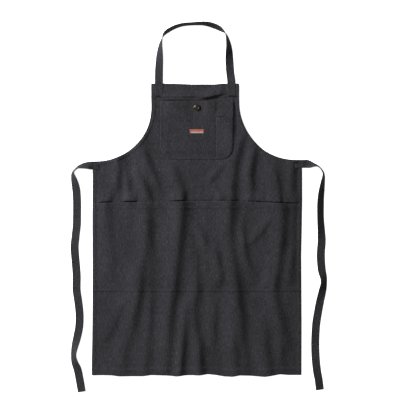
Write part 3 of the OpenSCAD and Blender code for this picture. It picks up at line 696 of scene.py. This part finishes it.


# The strap's section: both edges rounded alike, each face a little thinner in the middle
SECTION = [(-0.5, -0.12), (-0.47, -0.44), (-0.4, -0.5), (-0.2, -0.46), (0, -0.44), (0.2, -0.46), (0.4, -0.5),
           (0.47, -0.44), (0.5, -0.12), (0.5, 0.12), (0.47, 0.44), (0.4, 0.5), (0.2, 0.46), (0, 0.44),
           (-0.2, 0.46), (-0.4, 0.5), (-0.47, 0.44), (-0.5, 0.12)]


def strap_mesh(name, centre, wide, face, length, thick):
    section = np.array(SECTION)
    rings = (centre[:, None, :] + wide[:, None, :] * (section[:, 0] * STRAP_W)[None, :, None]
             + face[:, None, :] * section[:, 1][None, :, None] * thick[:, None, None])
    count, around = rings.shape[:2]
    k = np.arange(around)
    after = (k + 1) % around
    faces = []
    for i in range(count - 1):
        a, b = i * around, (i + 1) * around
        faces += np.stack([a + k, a + after, b + after, b + k], -1).tolist()
    faces.append(list(range(around))[::-1])
    faces.append([(count - 1) * around + j for j in range(around)])
    # once round the section, so that the weave has no seam on either face
    u = np.where(section[:, 1] > 0, section[:, 0], -section[:, 0] + 1.3) * STRAP_W
    uv = np.stack([np.repeat(u[None, :], count, 0), np.repeat(length[:, None], around, 1)], -1) * MM
    # near each edge, where the denim is paler: partly wear, partly painted highlight
    near_edge = np.repeat(close_to((0.5 - np.abs(section[:, 0])) * STRAP_W - 1.5, 2.0)[None, :], count, 0)
    return new_mesh(name, rings * MM, faces, uv, near_edge)


def make_neck_strap():
    lead = [(-LEG_X, -v, 0) for v in (BIB_HEM, 30, 24, 18, 12, 6, 3)]
    tail = [(LEG_X, -v, 0) for v in (3, 6, 12, 18, 24, 30, BIB_HEM)]
    p, wide, face, rest, length, thick = strap_frames(NECK_ROUTE, lead, tail)
    x, y = p[:, 0], p[:, 1] + TOP
    on_cloth = panel_top(np.clip(x, -BIB_HALF, BIB_HALF), np.minimum(y, TOP)) + 0.03
    share = 1 - smooth((y - TOP) / 34)
    z = rest + on_cloth * share
    held_x, held_y = np.clip(x, -BIB_HALF, BIB_HALF), np.minimum(y, TOP)
    centre = np.stack([x + slide_x(held_x, held_y), y + slide_y(held_x, held_y) * share, z], -1)
    piece = strap_mesh("neck_strap_cloth", centre, wide, face, length, thick)
    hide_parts("neck_strap", "neck_strap_ends")
    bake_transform(piece)
    rows = strap_rows("neck_strap_edge_thread", centre, wide, face, thick)
    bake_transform(rows)
    return piece, rows


def make_tie(side, route, word):
    lap = TIE_HIGH[0] - TIE_LOW[0]
    lead = [(-v, route[0][1], 0) for v in (lap, 15, 10, 5, 2)]
    p, wide, face, rest, length, thick = strap_frames(route, lead, [])
    x, y = p[:, 0] + HALF_W, p[:, 1] + CORNER - STRAP_W / 2 - route[0][1]
    inside_x = np.minimum(x, HALF_W)
    on_cloth = panel_top(side * inside_x, np.minimum(y, CORNER - 1)) + 0.03
    share = 1 - smooth((x - HALF_W) / 30)
    first = np.arange(len(x)) > 40
    share = np.where(first, 0, share)
    z = rest + on_cloth * share
    with_cloth = np.where(first, 0, 1 - smooth((x - HALF_W) / 50))
    edge_x, edge_y = side * inside_x, np.minimum(y, CORNER - 1)
    x, y = x + side * slide_x(edge_x, edge_y) * with_cloth, y + slide_y(edge_x, edge_y) * with_cloth
    centre = np.stack([x, y, z], -1)
    if side < 0:
        flip = np.array([-1.0, 1.0, 1.0])
        centre, face = centre * flip, face * flip
        wide = wide * flip * -1
    piece = strap_mesh(f"waist_tie_cloth_{word}", centre, wide, face, length, thick)
    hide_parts(f"waist_tie_{word}", f"waist_tie_end_{word}")
    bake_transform(piece)
    rows = strap_rows(f"waist_tie_edge_thread_{word}", centre, wide, face, thick)
    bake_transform(rows)
    return piece, rows


# ---------------------------------------------------------------- thread
STITCH, STITCH_GAP, THREAD_R = 2.7, 0.7, 0.24


def stitches(name, runs):
    """runs: lists of (points, up) pairs of arrays along a row, in mm. Each stitch is a small spindle."""
    points, faces = [], []
    for path, up in runs:
        gaps = np.linalg.norm(np.diff(path, axis=0), axis=1)
        length = np.concatenate([[0], np.cumsum(gaps)])
        count = max(1, int(length[-1] / (STITCH + STITCH_GAP)))
        pitch = length[-1] / count
        start = np.arange(count) * pitch + STITCH_GAP / 2

        def at(s, source):
            return np.stack([np.interp(s, length, source[:, j]) for j in range(3)], -1)

        a, b = at(start, path), at(start + pitch - STITCH_GAP, path)
        lift = at(start + pitch / 2, up)
        lift /= np.linalg.norm(lift, axis=1, keepdims=True)
        along = b - a
        side = np.cross(along, lift)
        side /= np.maximum(np.linalg.norm(side, axis=1, keepdims=True), 1e-9)
        base = sum(len(block) for block in points)
        rings = []
        for t, size, height in ((0, 0.45, -0.35), (0.22, 1, 0.75), (0.78, 1, 0.75), (1, 0.45, -0.35)):
            centre = a + along * t + lift * THREAD_R * height
            for c, s in ((1, 0), (0.3, 0.9), (-1, 0.35), (-1, -0.35), (0.3, -0.9)):
                rings.append(centre + (lift * c + side * s) * THREAD_R * size)
        block = np.stack(rings, 1).reshape(-1, 3)
        points.append(block)
        for i in range(count):
            o = base + i * 20
            for ring in range(3):
                for k in range(5):
                    m = (k + 1) % 5
                    faces.append([o + ring * 5 + k, o + ring * 5 + m, o + ring * 5 + 5 + m,
                                  o + ring * 5 + 5 + k])
            faces.append([o + k for k in range(4, -1, -1)])
            faces.append([o + 15 + k for k in range(5)])
    return new_mesh(name, np.concatenate(points) * MM, faces)


def strap_rows(name, centre, wide, face, thick):
    """A row of stitches near each edge of a strap, on its front."""
    runs = []
    for edge in (-1, 1):
        path = centre + wide * edge * (STRAP_W / 2 - 1.8) + face * thick[:, None] * 0.5
        runs.append((path, face))
    piece = stitches(name, runs)
    return piece


def cloth_run(x, y, top):
    """A row of stitches over flat-cut points, on the surface top."""
    x, y = np.asarray(x, float), np.asarray(y, float)
    path = laid(x, y, top(x, y)) / MM
    return path, np.tile([0.0, 0.0, 1.0], (len(x), 1))


def line(a, b, top, size=4.0):
    n = max(2, int(math.dist(a, b) / size) + 1)
    return cloth_run(np.linspace(a[0], b[0], n), np.linspace(a[1], b[1], n), top)


def arm_row(side, distance, start_x, end_y):
    r = ARM_R + distance
    first = math.asin((ARM_X - start_x) / r)
    angle = np.linspace(first, math.pi / 2, 90)
    x = ARM_X - r * np.sin(angle)
    y = ARM_Y - r * np.cos(angle)
    x = np.concatenate([x, [ARM_X - r] * 12])
    y = np.concatenate([y, np.linspace(ARM_Y + 1, end_y, 12)])
    return cloth_run(side * x, y, panel_top)


def patch_row(inset, x_half, low, corner, top_y):
    r = corner - inset
    half = x_half - inset
    angle = np.linspace(0, math.pi / 2, 16)
    left_x = np.concatenate([[-half] * 40, -half + r - r * np.cos(angle),
                             np.linspace(-half + r, half - r, 40)])
    left_y = np.concatenate([np.linspace(top_y, low + corner, 40), low + corner - r * np.sin(angle),
                             [low + inset] * 40])
    right_x = np.concatenate([half - r + r * np.sin(angle), [half] * 40])
    right_y = np.concatenate([low + corner - r * np.cos(angle), np.linspace(low + corner, top_y, 40)])
    return cloth_run(np.concatenate([left_x, right_x]), np.concatenate([left_y, right_y]), chest_top)


def thread_piece(name, runs, *nodes):
    piece = stitches(name, runs)
    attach(piece, "root")
    if nodes:
        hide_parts(*nodes)
    return piece


def make_thread():
    side_x = HALF_W - HEM_ROW
    hem_y = HEM - EDGE_ROW
    runs = [line((-side_x, hem_y), (side_x, hem_y), panel_top)]
    for s in (-1, 1):
        runs.append(line((s * side_x, BOTTOM + 1), (s * side_x, POCKET_BOTTOM - 1), panel_top))
        runs.append(line((s * side_x, MOUTH + 6), (s * side_x, CORNER - STRAP_W - 1), panel_top))
    made = [thread_piece("hem_thread", runs, "hem_stitching")]
    row_y = TOP - BIB_HEM + EDGE_ROW
    inner, outer = LEG_X - STRAP_W / 2 - 0.5, LEG_X + STRAP_W / 2 + 0.5
    runs = [line((-inner, row_y), (inner, row_y), panel_top)]
    runs += [line((s * outer, row_y), (s * (BIB_HALF - 0.6), row_y), panel_top) for s in (-1, 1)]
    runs.append(line((-inner, TOP - 2), (inner, TOP - 2), panel_top))
    made.append(thread_piece("bib_hem_thread", runs, "bib_hem_stitching"))
    runs = [arm_row(s, HEM_ROW, TIE_LOW[0] - 0.5, TOP - BIB_HEM - 1) for s in (-1, 1)]
    runs += [arm_row(s, 1.8, TIE_LOW[0] - 0.5, TOP - 1) for s in (-1, 1)]
    made.append(thread_piece("armhole_thread", runs, "armhole_stitching"))
    runs = [patch_row(EDGE_ROW, CHEST_HALF, CHEST_BOTTOM, CHEST_CORNER, CHEST_MOUTH - 4),
            line((-CHEST_HALF + 3, CHEST_MOUTH - 19), (-9, CHEST_MOUTH - 19), chest_top),
            line((9, CHEST_MOUTH - 19), (CHEST_HALF - 3, CHEST_MOUTH - 19), chest_top)]
    made.append(thread_piece("chest_pocket_thread", runs, "chest_pocket_stitching"))
    inset = CHEST_HALF - PEN_HIGH[0] + EDGE_ROW
    low_y = CHEST_BOTTOM + inset
    x0, x1 = PEN_LOW[0] + EDGE_ROW, PEN_HIGH[0] - EDGE_ROW
    runs = [line((x0, PEN_MOUTH - 4), (x0, low_y + 1), pen_top),
            line((x1, PEN_MOUTH - 2), (x1, CHEST_BOTTOM + CHEST_CORNER), pen_top),
            line((x0 + 1, PEN_MOUTH - 13), (x1 - 1, PEN_MOUTH - 10.5), pen_top)]
    made.append(thread_piece("pen_pocket_thread", runs, "pen_pocket_stitching"))
    sunk = lambda x, y: lower_top(x, y) - 0.12
    runs = []
    for row in (EDGE_ROW, EDGE_ROW + 4.5):
        runs.append(line((-side_x, POCKET_BOTTOM + row), (side_x, POCKET_BOTTOM + row), sunk))
    runs.append(line((0, POCKET_BOTTOM + 2), (0, MOUTH - 2), lower_top))
    for s in (-1, 1):
        runs.append(line((s * side_x, POCKET_BOTTOM + 2), (s * side_x, MOUTH - 14), lower_top))
        runs.append(line((s * 4, MOUTH - 20), (s * (side_x - 2), MOUTH - 21), lower_top))
    made.append(thread_piece("lower_pocket_thread", runs, "lower_pocket_stitching"))
    neck_top = lambda x, y: panel_top(x, y) + STRAP_T / 2 * tapered(y - TOP + BIB_HEM) - 0.1
    tie_top = lambda x, y: panel_top(x, y) + STRAP_T / 2 * tapered(np.abs(x) - TIE_LOW[0]) - 0.1
    runs = []
    for s in (-1, 1):
        runs += box_x(s * LEG_X, TOP - BIB_HEM / 2, STRAP_W - 5, BIB_HEM - 6, neck_top)
    made.append(thread_piece("neck_strap_box_thread", runs, "neck_strap_stitching"))
    runs = []
    for s in (-1, 1):
        middle = s * (TIE_LOW[0] + TIE_HIGH[0]) / 2
        runs += box_x(middle, CORNER - STRAP_W / 2, TIE_HIGH[0] - TIE_LOW[0] - 5, STRAP_W - 5, tie_top)
    made.append(thread_piece("waist_tie_box_thread", runs, "waist_tie_stitching"))
    return made


def box_x(x, y, w, h, top):
    a, b, c, d = [(x + i * w / 2, y + j * h / 2) for i, j in ((-1, -1), (1, -1), (1, 1), (-1, 1))]
    return [line(p, q, top, 2.0) for p, q in ((a, b), (b, c), (c, d), (d, a), (a, c), (b, d))]


def satin(name, bars, top, *nodes):
    """Dense bars of thread: each a pair of flat-cut ends and a height at its middle."""
    points, faces = [], []
    for (a, b) in bars:
        t = np.linspace(0, 1, 5)
        x, y = a[0] + (b[0] - a[0]) * t, a[1] + (b[1] - a[1]) * t
        arch = 0.45 * np.sin(math.pi * t) - 0.1
        path = laid(x, y, top(x, y) + arch) / MM
        along = path[-1] - path[0]
        side = np.cross(along, [0, 0, 1.0])
        side /= np.linalg.norm(side)
        base = len(points) * 20
        rings = []
        for centre, size in zip(path, (0.5, 1, 1, 1, 0.5)):
            for c, s in ((0.9, 0), (0, 1), (-0.9, 0), (0, -1)):
                rings.append(centre + (np.array([0, 0, 1.0]) * c + side * s) * 0.26 * size)
        points.append(rings)
        for ring in range(4):
            for k in range(4):
                m = (k + 1) % 4
                o = base + ring * 4
                faces.append([o + k, o + m, o + 4 + m, o + 4 + k])
        faces += [[base + k for k in (3, 2, 1, 0)], [base + 16 + k for k in range(4)]]
    piece = new_mesh(name, np.array(points).reshape(-1, 3) * MM, faces)
    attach(piece, "root")
    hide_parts(*nodes)
    return piece


def bar_of(x, y, w, h):
    """A bar tack: stitches across its short side, all along its long side."""
    n = int(max(w, h) / 0.42)
    t = (np.arange(n) + 0.5) / n - 0.5
    if w > h:
        return [((x + w * v, y - h / 2), (x + w * v, y + h / 2)) for v in t]
    return [((x - w / 2, y + h * v), (x + w / 2, y + h * v)) for v in t]


def make_bars():
    on_chest, on_lower, on_pen = [], [], []
    for s in (-1, 1):
        on_chest += bar_of(s * (CHEST_HALF - 5), CHEST_MOUTH - 3, 8, 2)
        on_lower += bar_of(s * (HALF_W - HEM_ROW), MOUTH - 8, 2, 10)
    on_lower += bar_of(0, MOUTH - 6, 2, 10)
    on_pen += (bar_of(PEN_LOW[0] + 2.4, PEN_MOUTH - 3.4, 4, 1.8)
               + bar_of(PEN_HIGH[0] - 2.4, PEN_MOUTH - 1, 4, 1.8))
    on_pen += bar_of((PEN_LOW[0] + PEN_HIGH[0]) / 2 + 0.5, PEN_MOUTH - 16, 3, 10)
    made = []
    for name, bars, top in (("a", on_chest, chest_top), ("b", on_lower, lower_top), ("c", on_pen, pen_top)):
        made.append(satin("bars_" + name, bars, top, "bar_tacks"))
    eye, slit = 2.9, 0.6
    low = BUTTON_Y - BUTTONHOLE
    bars = []
    for angle in np.arange(-50, 230.1, 11):
        c, s = math.cos(math.radians(angle)), math.sin(math.radians(angle))
        bars.append(((c * eye, BUTTON_Y + s * eye), (c * (eye + 1.9), BUTTON_Y + s * (eye + 1.9))))
    for y in np.arange(low, BUTTON_Y - 3, 0.5):
        for s in (-1, 1):
            bars.append(((s * slit, y), (s * (slit + 1.7), y)))
    bars += [((v, low - 0.4), (v, low - 2.0)) for v in np.arange(-1.8, 1.9, 0.45)]
    hole = satin("buttonhole_thread", bars, chest_top, "buttonhole_stitching")
    return made, hole


# ---------------------------------------------------------------- label and button
def make_label():
    x, y = np.meshgrid(steps(LABEL_LOW[0], LABEL_HIGH[0], 1.5), steps(LABEL_LOW[1], LABEL_HIGH[1], 1.5))
    over = lambda x, y: chest_top(x, y) + 0.62
    under = lambda x, y: chest_top(x, y) + 0.02
    piece = sewn_sheet("label_cloth", x, y, under, over)
    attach(piece, "root")
    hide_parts("woven_label")
    size = LABEL_HIGH - LABEL_LOW
    top = lambda x, y: chest_top(x, y) + 0.64
    runs = [line((s * (size[0] / 2 - 1.6), LABEL_LOW[1] + 0.6),
                 (s * (size[0] / 2 - 1.6), LABEL_HIGH[1] - 0.6), top)
            for s in (-1, 1)]
    thread = stitches("label_thread", runs)
    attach(thread, "root")
    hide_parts("label_stitching")
    return piece, thread


def lathe(name, profile, around=64):
    """Profile points of (radius, height) in mm turned about the button's axis."""
    profile = np.array(profile, float)
    angle = np.arange(around) * 2 * math.pi / around
    x = profile[:, 0][:, None] * np.cos(angle)
    y = profile[:, 0][:, None] * np.sin(angle) + BUTTON_Y
    z = np.repeat(profile[:, 1][:, None], around, 1)
    points = np.stack([x, y, z], -1) * MM
    count = len(profile)
    faces = []
    for i in range(count):
        j = (i + 1) % count
        for k in range(around):
            m = (k + 1) % around
            faces.append([i * around + k, i * around + m, j * around + m, j * around + k])
    return new_mesh(name, points, faces)


def make_button():
    base, r = CAP_LOW[2], (CAP_HIGH[0] - CAP_LOW[0]) / 2
    high = CAP_HIGH[2]
    arc = [(r - 1.2 + 1.2 * math.sin(a), high - 1.2 + 1.2 * math.cos(a))
           for a in np.linspace(0, math.pi / 2, 8)]
    dish = [(4.7 - 1.25 * math.sin(a), high - 0.55 * (1 - math.cos(a)))
            for a in np.linspace(0, math.pi / 2, 7)]
    groove = [(6.6, high), (6.45, high - 0.22), (6.3, high)]
    profile = ([(4.6, base + 0.05), (r - 0.5, base), (r, base + 0.5)] + arc[::-1] + groove
               + [(4.9, high + 0.02)] + dish + [(3.3, high - 1.15), (7.0, high - 1.2), (7.0, base + 0.65),
               (4.6, base + 0.6)])
    piece = lathe("button_shell", profile)
    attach(piece, "button")
    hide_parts("button_cap")
    return piece


# ---------------------------------------------------------------- materials
def socket(node, name, value):
    node.inputs[name].default_value = value


class Graph:
    """A small helper for a material's nodes."""

    def __init__(self, name):
        self.material = bpy.data.materials.new(name)
        self.material.use_nodes = True
        self.tree = self.material.node_tree
        self.tree.nodes.clear()
        self.shader = self.add("ShaderNodeBsdfPrincipled")
        output = self.add("ShaderNodeOutputMaterial")
        self.link(self.shader.outputs["BSDF"], output.inputs["Surface"])

    def add(self, kind, **settings):
        node = self.tree.nodes.new(kind)
        for key, value in settings.items():
            setattr(node, key, value)
        return node

    def link(self, a, b):
        self.tree.links.new(a, b)

    def feed(self, target, value):
        if hasattr(value, "is_output"):
            self.link(value, target)
        else:
            target.default_value = value

    def math(self, operation, a, b=0.0, clamp=False):
        node = self.add("ShaderNodeMath", operation=operation, use_clamp=clamp)
        self.feed(node.inputs[0], a)
        self.feed(node.inputs[1], b)
        return node.outputs[0]

    def scaled(self, vector, scale):
        node = self.add("ShaderNodeVectorMath", operation="MULTIPLY")
        self.link(vector, node.inputs[0])
        node.inputs[1].default_value = scale
        return node.outputs[0]

    def noise(self, vector, detail=2.0, rough=0.5, distortion=0.0):
        node = self.add("ShaderNodeTexNoise")
        self.link(vector, node.inputs["Vector"])
        socket(node, "Scale", 1.0)
        socket(node, "Detail", detail)
        socket(node, "Roughness", rough)
        socket(node, "Distortion", distortion)
        return node.outputs["Fac"]

    def ramp(self, value, stops):
        node = self.add("ShaderNodeValToRGB")
        self.link(value, node.inputs[0])
        elements = node.color_ramp.elements
        while len(elements) < len(stops):
            elements.new(0.5)
        for element, (place, colour) in zip(elements, stops):
            element.position = place
            element.color = (*colour, 1.0) if len(colour) == 3 else colour
        return node.outputs["Color"]

    def mix(self, fac, a, b, blend="MIX"):
        node = self.add("ShaderNodeMix", data_type="RGBA", blend_type=blend)
        self.feed(node.inputs[0], fac)
        self.feed(node.inputs[6], a)
        self.feed(node.inputs[7], b)
        return node.outputs[2]

    def bump(self, height, strength, distance, normal=None):
        node = self.add("ShaderNodeBump")
        socket(node, "Strength", strength)
        socket(node, "Distance", distance)
        self.link(height, node.inputs["Height"])
        if normal is not None:
            self.link(normal, node.inputs["Normal"])
        return node.outputs["Normal"]


def denim(name, depth=1.0):
    """Charcoal yarn-dyed denim: upright slubs, twill ribs, flecks, and paler edges at the seams and folded
    edges, partly wear and partly painted highlight.
    """
    g = Graph(name)
    cut = g.add("ShaderNodeUVMap", uv_map="cut").outputs["UV"]
    slub = g.noise(g.scaled(cut, (520, 115, 1)), 3.0, 0.6)
    streak = g.noise(g.scaled(cut, (300, 40, 1)), 2.0, 0.55)
    fleck = g.noise(g.scaled(cut, (640, 400, 1)), 3.0, 0.65)
    cloud = g.noise(g.scaled(cut, (9, 6, 1)), 2.0, 0.5)
    yarn = g.math("ADD", g.math("MULTIPLY", slub, 0.7), g.math("MULTIPLY", streak, 0.3))
    dark = tuple(v * depth for v in (0.0125, 0.0124, 0.0134))
    mid = tuple(v * depth for v in (0.0217, 0.0215, 0.0232))
    pale = tuple(v * depth for v in (0.0395, 0.039, 0.0422))
    colour = g.ramp(yarn, [(0.34, dark), (0.5, mid), (0.68, pale)])
    flecks = g.ramp(fleck, [(0.3, (0.72, 0.72, 0.73)), (0.55, (1, 1, 1)), (0.78, (1.75, 1.75, 1.78))])
    colour = g.mix(1.0, colour, flecks, "MULTIPLY")
    clouds = g.ramp(cloud, [(0.3, (0.9, 0.9, 0.9)), (0.7, (1.1, 1.1, 1.1))])
    colour = g.mix(1.0, colour, clouds, "MULTIPLY")
    seam = g.add("ShaderNodeAttribute", attribute_name="seam").outputs["Fac"]
    pucker = g.noise(g.scaled(cut, (130, 130, 1)), 1.0, 0.5)
    # Paler colour near seams and folded edges: partly seam wear, partly a painted highlight where the fold
    # edges catch the light.
    wear_and_fold_highlight = g.math("MULTIPLY", seam, g.math("SUBTRACT", pucker, 0.56, True), True)
    colour = g.mix(wear_and_fold_highlight, colour, tuple(v * depth for v in (0.05, 0.05, 0.053)) + (1.0,))
    g.link(colour, g.shader.inputs["Base Color"])
    rough = g.math("ADD", g.math("MULTIPLY", fleck, 0.14), 0.78)
    g.link(rough, g.shader.inputs["Roughness"])
    twill = g.add("ShaderNodeTexWave", wave_type="BANDS", bands_direction="DIAGONAL")
    g.link(g.scaled(cut, (1050, 620, 1)), twill.inputs["Vector"])
    socket(twill, "Scale", 0.5)
    socket(twill, "Distortion", 0.6)
    ribs = g.math("ADD", g.math("MULTIPLY", twill.outputs["Fac"], 0.5), g.math("MULTIPLY", slub, 0.8))
    normal = g.bump(ribs, 0.45, 0.0004)
    ruck = g.math("MULTIPLY", seam, pucker)
    normal = g.bump(ruck, 0.5, 0.0012, normal)
    creases = g.noise(g.scaled(cut, (70, 26, 1)), 3.0, 0.55, 0.4)
    normal = g.bump(creases, 0.28, 0.0022, normal)
    g.link(normal, g.shader.inputs["Normal"])
    socket(g.shader, "Specular IOR Level", 0.05)
    return g.material


def thread_material():
    g = Graph("thread")
    place = g.add("ShaderNodeTexCoord").outputs["Object"]
    fibre = g.noise(g.scaled(place, (900, 900, 900)), 2.0, 0.6)
    g.link(g.ramp(fibre, [(0.3, (0.014, 0.014, 0.015)), (0.7, (0.03, 0.03, 0.032))]),
           g.shader.inputs["Base Color"])
    g.link(g.math("ADD", g.math("MULTIPLY", fibre, 0.2), 0.5), g.shader.inputs["Roughness"])
    ply = g.noise(g.scaled(place, (2400, 2400, 2400)), 1.0, 0.5)
    g.link(g.bump(ply, 0.4, 0.0002), g.shader.inputs["Normal"])
    return g.material


def label_material():
    """Woven tape: a warm red field, an off-white band below it and a thin red edge. It has no lettering."""
    g = Graph("label")
    cut = g.add("ShaderNodeUVMap", uv_map="cut").outputs["UV"]
    split = g.add("ShaderNodeSeparateXYZ")
    g.link(cut, split.inputs[0])
    low, high = LABEL_LOW[1] * MM, LABEL_HIGH[1] * MM
    up = g.math("DIVIDE", g.math("SUBTRACT", split.outputs[1], low), high - low)
    wobble = g.noise(g.scaled(cut, (1600, 900, 1)), 2.0, 0.6)
    up = g.math("ADD", up, g.math("MULTIPLY", g.math("SUBTRACT", wobble, 0.5), 0.03))
    red, pale, edge = (0.26, 0.058, 0.03), (0.27, 0.235, 0.2), (0.1, 0.024, 0.02)
    bands = g.ramp(up, [(0.0, edge), (0.07, edge), (0.13, pale), (0.4, pale), (0.48, red), (0.92, red),
                        (1.0, edge)])
    aside = g.math("ABSOLUTE", split.outputs[0])
    border = g.math("MULTIPLY", g.math("GREATER_THAN", aside, LABEL_HIGH[0] * MM - 0.0026),
                    g.math("LESS_THAN", up, 0.46))
    bands = g.mix(border, bands, (*edge, 1.0))
    yarn = g.noise(g.scaled(cut, (2600, 700, 1)), 2.0, 0.6)
    shade = g.ramp(yarn, [(0.3, (0.68, 0.68, 0.68)), (0.7, (1.15, 1.15, 1.15))])
    g.link(g.mix(1.0, bands, shade, "MULTIPLY"), g.shader.inputs["Base Color"])
    g.link(g.math("ADD", g.math("MULTIPLY", yarn, 0.25), 0.55), g.shader.inputs["Roughness"])
    weave = g.add("ShaderNodeTexChecker")
    g.link(g.scaled(cut, (1800, 1800, 1)), weave.inputs["Vector"])
    socket(weave, "Scale", 1.0)
    height = g.math("ADD", g.math("MULTIPLY", weave.outputs["Fac"], 0.4), yarn)
    g.link(g.bump(height, 0.5, 0.0003), g.shader.inputs["Normal"])
    return g.material


def metal(name, dark, bright, base_rough):
    """Antique metal: darker and brighter in patches of patina that fall at random."""
    g = Graph(name)
    place = g.add("ShaderNodeTexCoord").outputs["Object"]
    patina = g.noise(g.scaled(place, (420, 420, 420)), 4.0, 0.65)
    grain = g.noise(g.scaled(place, (2600, 2600, 2600)), 2.0, 0.6)
    g.link(g.ramp(patina, [(0.32, dark), (0.68, bright)]), g.shader.inputs["Base Color"])
    g.link(g.math("ADD", g.math("MULTIPLY", grain, 0.25), base_rough), g.shader.inputs["Roughness"])
    g.link(g.bump(grain, 0.25, 0.0001), g.shader.inputs["Normal"])
    socket(g.shader, "Metallic", 1.0)
    return g.material


def floor_material():
    g = Graph("floor")
    place = g.add("ShaderNodeTexCoord").outputs["Object"]
    tone = g.noise(g.scaled(place, (3, 3, 3)), 2.0, 0.5)
    g.link(g.ramp(tone, [(0.3, (0.86, 0.86, 0.86)), (0.7, (0.88, 0.88, 0.88))]),
           g.shader.inputs["Base Color"])
    socket(g.shader, "Roughness", 0.9)
    socket(g.shader, "Specular IOR Level", 0.1)
    socket(g.shader, "Emission Color", (1.0, 1.0, 1.0, 1.0))
    socket(g.shader, "Emission Strength", 0.84)
    return g.material


def dress(obj, material):
    obj.data.materials.clear()
    obj.data.materials.append(material)


# ---------------------------------------------------------------- camera, floor and light
VIEW_CENTRE = (0.0337, 0.4968)
VIEW_WIDTH = 1.2626


def make_camera():
    data = bpy.data.cameras.new("camera")
    data.lens, data.sensor_width = 85, 36
    distance = VIEW_WIDTH * data.lens / data.sensor_width
    camera = bpy.data.objects.new("camera", data)
    camera.location = (*VIEW_CENTRE, distance)
    bpy.context.collection.objects.link(camera)
    bpy.context.scene.camera = camera


def area_light(name, place, aim, size, power, colour=(1, 1, 1)):
    data = bpy.data.lights.new(name, "AREA")
    data.shape, data.size, data.energy, data.color = "DISK", size, power, colour
    light = bpy.data.objects.new(name, data)
    light.location = place
    away = np.array(place, float) - np.array(aim, float)
    light.rotation_mode = "QUATERNION"
    light.rotation_quaternion = Vector(away).to_track_quat("Z", "Y")
    bpy.context.collection.objects.link(light)


def make_stage():
    x = np.linspace(-40, 40, 3)
    points = np.array([(a, b, -0.0002) for b in x for a in x])
    faces = [[r * 3 + c, r * 3 + c + 1, r * 3 + c + 4, r * 3 + c + 3] for r in range(2) for c in range(2)]
    floor = new_mesh("studio_floor", points, faces)
    dress(floor, floor_material())
    world = bpy.data.worlds.new("studio")
    bpy.context.scene.world = world
    world.use_nodes = True
    sky = world.node_tree.nodes["Background"]
    sky.inputs["Color"].default_value = (0.97, 1.0, 0.985, 1.0)
    sky.inputs["Strength"].default_value = 0.24
    centre = (0.0, 0.43, 0.0)
    area_light("key", (-3.2, 2.75, 2.05), centre, 1.1, 500, (1.0, 0.965, 1.04))
    area_light("fill", (0.2, -1.6, 2.2), centre, 2.0, 16, (0.97, 1.0, 1.0))
    bpy.context.scene.view_settings.view_transform = "Standard"


# ---------------------------------------------------------------- the apron
make_camera()
make_stage()

cloth = denim("denim")
strap_cloth = denim("denim_strap", depth=1.0)
thread = thread_material()
label_look = label_material()
brass = metal("antique_brass", (0.018, 0.016, 0.011), (0.12, 0.105, 0.075), 0.2)
centre_metal = metal("button_centre_metal", (0.012, 0.011, 0.006), (0.06, 0.052, 0.03), 0.45)

body = make_body()
turned_hems = hem_strips()
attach(turned_hems, "root")
cloth_pieces = [body, turned_hems, facing(-1), facing(1), make_chest_pocket(), make_pen_pocket(),
                make_lower_pockets()]
for piece in cloth_pieces:
    dress(piece, cloth)

neck, neck_rows = make_neck_strap()
left_tie, left_rows = make_tie(-1, LEFT_ROUTE, "left")
right_tie, right_rows = make_tie(1, RIGHT_ROUTE, "right")
for piece in (neck, left_tie, right_tie):
    dress(piece, strap_cloth)

bars, buttonhole = make_bars()
for piece in (neck_rows, left_rows, right_rows, *make_thread(), *bars, buttonhole):
    dress(piece, thread)

label, label_thread = make_label()
dress(label, label_look)
dress(label_thread, label_look)
dress(make_button(), brass)
for node, look in (("button_core", centre_metal), ("button_tack", brass)):
    dress(bpy.data.objects[node], look)
